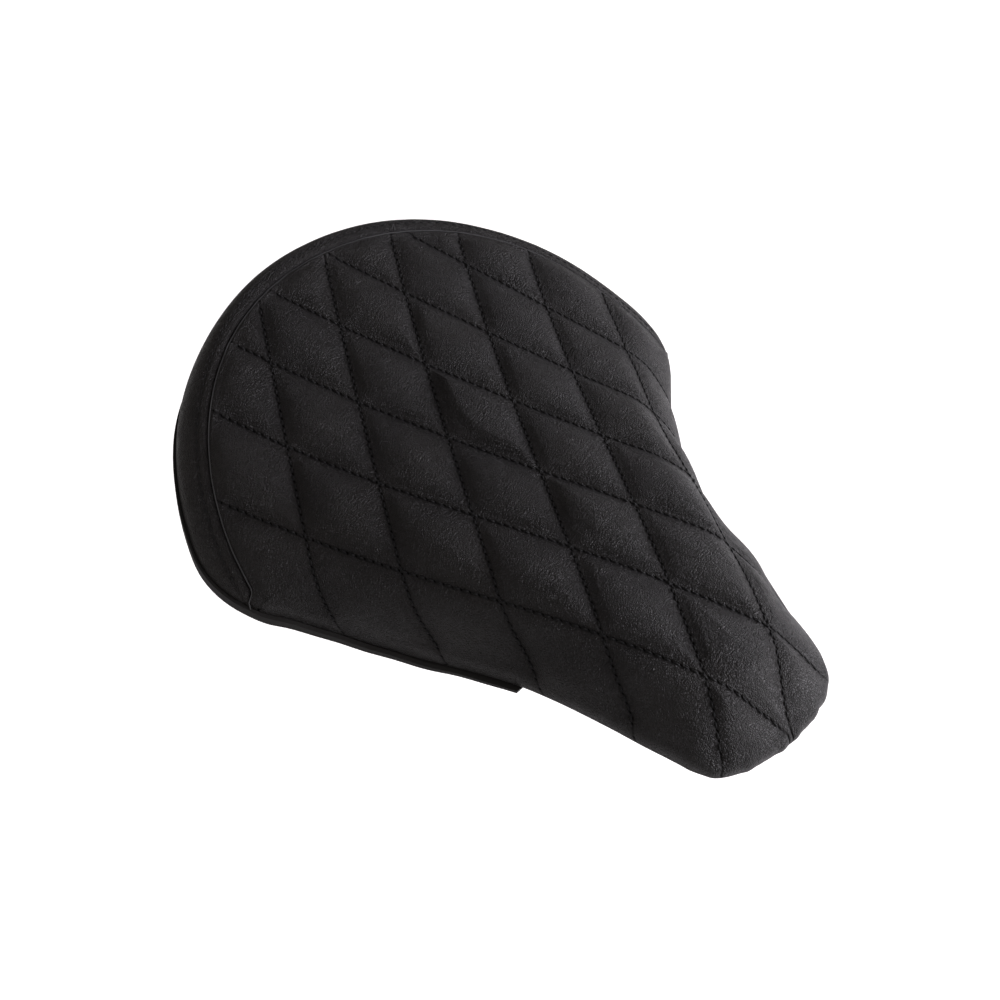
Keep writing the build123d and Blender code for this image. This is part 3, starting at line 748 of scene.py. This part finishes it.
def leather(name, base, warm, rough, grain):
    """Pebbled leather with fine creases across the seat, sewn creases with needle holes, uneven gloss, and
    painted shade: the colour darkens along the sewn creases and in the needle holes.
    """
    material, n, l, shader = new_material(name)
    tree = material.node_tree
    plain = warped(tree, 90.0, 0.0012, (1.0, 1.0, 1.0))
    across = warped(tree, 60.0, 0.0035, (0.42, 1.0, 0.8))
    pebble = cells(tree, plain, 1000.0, 0.22)
    crease = cells(tree, across, 800.0, 0.26)
    where = spread(tree, noise(tree, plain, 45.0, 2.0), 0.30, 0.60, 0.35, 1.0)
    fine = noise(tree, plain, 2600.0, 2.0)
    height = combine(tree, "MULTIPLY_ADD", pebble, 0.7, combine(tree, "MULTIPLY", fine, 0.2))
    height = combine(tree, "MULTIPLY_ADD", combine(tree, "MULTIPLY", crease, where), 0.6, height)
    i, j = field(tree, "line_i"), field(tree, "line_j")
    fold_i, hole_i = seam_of_family(tree, i, j)
    fold_j, hole_j = seam_of_family(tree, j, i)
    fold = combine(tree, "MAXIMUM", fold_i, fold_j)
    hole = combine(tree, "MAXIMUM", hole_i, hole_j)
    sewn = combine(tree, "ADD", combine(tree, "MULTIPLY", fold, 1.2), combine(tree, "MULTIPLY", hole, 2.4))
    height = combine(tree, "SUBTRACT", height, sewn)
    bump = add(n, "ShaderNodeBump", Strength=1.0, Distance=grain * MM)
    l.new(height, bump.inputs["Height"])
    l.new(bump.outputs["Normal"], shader.inputs["Normal"])
    tint = add(n, "ShaderNodeMixRGB", Color1=(*base, 1), Color2=(*warm, 1))
    l.new(spread(tree, noise(tree, plain, 26.0), 0.35, 0.7), tint.inputs["Fac"])
    # painted shade: the base colour goes near black along the sewn creases and in the needle holes, standing
    # in for the shade in those grooves and pits; the same mask raises roughness and lowers the specular level
    painted_shade_mix = add(n, "ShaderNodeMixRGB", Color2=(0.001, 0.001, 0.001, 1))
    shade = combine(tree, "MAXIMUM", combine(tree, "MULTIPLY", fold, 0.45), hole)
    l.new(shade, painted_shade_mix.inputs["Fac"])
    l.new(tint.outputs["Color"], painted_shade_mix.inputs["Color1"])
    l.new(painted_shade_mix.outputs["Color"], shader.inputs["Base Color"])
    gloss = spread(tree, noise(tree, plain, 240.0, 3.0, 1.0), 0.3, 0.7, rough - 0.06, rough + 0.08)
    l.new(combine(tree, "ADD", gloss, combine(tree, "MULTIPLY", shade, 0.4)), shader.inputs["Roughness"])
    l.new(spread(tree, shade, 0.0, 1.0, 0.5, 0.08), shader.inputs["Specular IOR Level"])
    return material


def thread(name, colour):
    material, n, l, shader = new_material(name)
    coord = n.new("ShaderNodeTexCoord")
    wave = add(n, "ShaderNodeTexWave", Scale=900.0, Distortion=1.0)
    wave.bands_direction = "DIAGONAL"
    l.new(coord.outputs["Object"], wave.inputs["Vector"])
    bump = add(n, "ShaderNodeBump", Strength=0.5, Distance=0.0001)
    l.new(wave.outputs["Fac"], bump.inputs["Height"])
    l.new(bump.outputs["Normal"], shader.inputs["Normal"])
    shader.inputs["Base Color"].default_value = (*colour, 1)
    shader.inputs["Roughness"].default_value = 0.55
    return material


def metal(name, colour, metallic, rough, scale, strength, worn=None):
    """Painted or plated metal with fine texture, uneven gloss and optional wear tint."""
    material, n, l, shader = new_material(name)
    coord = n.new("ShaderNodeTexCoord")
    grain = add(n, "ShaderNodeTexNoise", Scale=scale, Detail=5.0, Roughness=0.6)
    patches = add(n, "ShaderNodeTexNoise", Scale=60.0, Detail=4.0, Roughness=0.6)
    for node in (grain, patches):
        l.new(coord.outputs["Object"], node.inputs["Vector"])
    bump = add(n, "ShaderNodeBump", Strength=strength, Distance=0.0002)
    l.new(grain.outputs["Fac"], bump.inputs["Height"])
    l.new(bump.outputs["Normal"], shader.inputs["Normal"])
    ramp = n.new("ShaderNodeValToRGB")
    ramp.color_ramp.elements[0].color = (*colour, 1)
    ramp.color_ramp.elements[1].color = (*(worn or [min(c * 1.35, 1) for c in colour]), 1)
    ramp.color_ramp.elements[0].position = 0.45
    ramp.color_ramp.elements[1].position = 0.8
    l.new(patches.outputs["Fac"], ramp.inputs["Fac"])
    l.new(ramp.outputs["Color"], shader.inputs["Base Color"])
    gloss = add(n, "ShaderNodeMapRange")
    gloss.inputs["To Min"].default_value = rough - 0.06
    gloss.inputs["To Max"].default_value = rough + 0.12
    l.new(patches.outputs["Fac"], gloss.inputs["Value"])
    l.new(gloss.outputs["Result"], shader.inputs["Roughness"])
    shader.inputs["Metallic"].default_value = metallic
    return material


LEATHER_COLOUR, LEATHER_WARM = (0.0125, 0.0110, 0.0117), (0.0165, 0.0145, 0.0144)
MATERIALS = {
    "leather": leather("black_leather", LEATHER_COLOUR, LEATHER_WARM, 0.38, 0.42),
    "thread": thread("black_thread", (0.005, 0.005, 0.006)),
    # the seam's folded edge is black leather; its light grey here is a painted highlight where the fold
    # catches light
    "cord": thread("seam_edge_painted_highlight", (0.10, 0.10, 0.105)),
    "trim": metal("black_trim", (0.010, 0.009, 0.009), 0.0, 0.62, 900.0, 0.35),
    "pan_paint": metal("black_powder_coat", (0.016, 0.016, 0.017), 0.0, 0.46, 1400.0, 0.5),
    "zinc": metal("zinc_plate", (0.52, 0.53, 0.55), 1.0, 0.34, 700.0, 0.12, (0.46, 0.45, 0.42)),
    "rivets": metal("rivet_aluminium", (0.55, 0.55, 0.56), 1.0, 0.38, 600.0, 0.10),
    "bronze": metal("sintered_bronze", (0.44, 0.28, 0.13), 1.0, 0.42, 1600.0, 0.3),
}


def paint_cad_nodes():
    slots = {s["node"]: s["material_slot"] for s in frame["record"]["subparts"]}
    for name, obj in nodes.items():
        material = MATERIALS.get(slots.get(name))
        if material is None:
            continue
        obj.data.materials.clear()
        obj.data.materials.append(material)


def dress(obj, material, body):
    obj.data.materials.append(MATERIALS[material])
    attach(obj, body)


def thicken(obj, thickness):
    """Closes an open leather sheet into a skin of real thickness, inward."""
    modifier = obj.modifiers.new("thickness", "SOLIDIFY")
    modifier.thickness = thickness * MM
    modifier.offset = -1.0
    bpy.context.view_layer.objects.active = obj
    with bpy.context.temp_override(object=obj, active_object=obj, selected_objects=[obj]):
        bpy.ops.object.modifier_apply(modifier=modifier.name)


# ------------------------------------------------------------------ the object

top, top_points, top_normals, top_fields = build_top_cover()
band, band_points, band_normals, band_fields = build_band()
quilt_thread = quilt_stitches(top_points, top_normals, top_fields)
band_thread = band_stitches(band_points, band_normals, band_fields)
cord = seam_cord(band_points, band_normals)
thicken(top, SKIN)
thicken(band, SKIN)
dress(top, "leather", "seat")
dress(band, "leather", "seat")
dress(quilt_thread, "thread", "seat")
dress(band_thread, "thread", "seat")
dress(cord, "cord", "seat")
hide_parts("top_cover", "quilt_padding", "foam_cushion")
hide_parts("rear_band")
paint_cad_nodes()


# ------------------------------------------------------------------ stage, light and camera

FLOOR_SIZE, FLOOR_DROP = 8.0, 0.26        # metres; the floor lies well below, as under a seat in the air
AIM = Vector((0.0, -0.04, 0.015))
LIGHT_SIZE, LIGHT_DISTANCE = 0.7, 1.3
# the floor's brightness to the camera, and the little of it that lights the seat
FLOOR_TINT, FLOOR_GLOW, FLOOR_BOUNCE = (1.0, 0.98, 0.97, 1.0), 0.86, 0.10
WORLD_LIGHT, WORLD_TINT = 0.12, (1.0, 0.92, 0.87, 1.0)
COOL, WARM = (0.96, 0.94, 1.0), (1.0, 0.94, 0.88)
LIGHTS = [                # name, azimuth, elevation, watts, colour
    ("key", 45.0, 12.0, 10.6, COOL),
    ("left", 90.0, 12.0, 3.8, COOL),
    ("front_high", 22.5, 40.0, 2.9, COOL),
    ("left_high", 90.0, 68.0, 1.1, COOL),
    ("front_right", -22.5, 40.0, 0.9, WARM),
    ("rear_right", -130.0, 12.0, 0.8, WARM),
]
CAMERA_TURN = -48.3       # azimuth and elevation of the camera round the seat, degrees
CAMERA_RISE = 48.8
CAMERA_ROLL = 8.4
CAMERA_PLACE = (-0.3194, -0.3097, 0.4936)
LENS = 49.6


def build_floor():
    bpy.ops.mesh.primitive_plane_add(size=FLOOR_SIZE, location=(0, 0, CAD_BOX[0].z - FLOOR_DROP))
    floor = bpy.context.object
    floor.name = "floor"
    material, n, l, shader = new_material("pale_floor")
    shader.inputs["Base Color"].default_value = (0.93, 0.93, 0.93, 1)
    shader.inputs["Roughness"].default_value = 0.9
    shader.inputs["Emission Color"].default_value = FLOOR_TINT
    seen = n.new("ShaderNodeLightPath").outputs["Is Camera Ray"]
    glow = spread(material.node_tree, seen, 0.0, 1.0, FLOOR_BOUNCE, FLOOR_GLOW)
    l.new(glow, shader.inputs["Emission Strength"])
    floor.data.materials.append(material)


def area_light(name, turn, rise, power, colour):
    """Square soft light round the seat: azimuth and elevation in degrees, watts."""
    data = bpy.data.lights.new(name, "AREA")
    data.shape = "SQUARE"
    data.size = LIGHT_SIZE
    data.energy = power
    data.color = colour
    obj = bpy.data.objects.new(name, data)
    a, e = math.radians(turn), math.radians(rise)
    back = Vector((math.sin(a) * math.cos(e), -math.cos(a) * math.cos(e), math.sin(e)))
    obj.location = AIM + back * LIGHT_DISTANCE
    obj.rotation_euler = (-back).to_track_quat("-Z", "Y").to_euler()
    bpy.context.scene.collection.objects.link(obj)


def build_lights():
    world = bpy.data.worlds.new("studio")
    bpy.context.scene.world = world
    world.use_nodes = True
    background = world.node_tree.nodes["Background"]
    background.inputs["Color"].default_value = WORLD_TINT
    background.inputs["Strength"].default_value = WORLD_LIGHT
    for light in LIGHTS:
        area_light(*light)


def build_camera():
    bpy.context.scene.view_settings.view_transform = "Standard"
    data = bpy.data.cameras.new("camera")
    data.lens = LENS
    data.sensor_width = 36.0
    camera = bpy.data.objects.new("camera", data)
    a, e = math.radians(CAMERA_TURN), math.radians(CAMERA_RISE)
    back = Vector((math.sin(a) * math.cos(e), -math.cos(a) * math.cos(e), math.sin(e)))
    look = back.to_track_quat("Z", "Y").to_matrix()
    roll = Matrix.Rotation(math.radians(CAMERA_ROLL), 3, "Z")
    camera.matrix_world = Matrix.Translation(CAMERA_PLACE) @ (look @ roll).to_4x4()
    bpy.context.scene.collection.objects.link(camera)
    bpy.context.scene.camera = camera


build_floor()
build_lights()
build_camera()
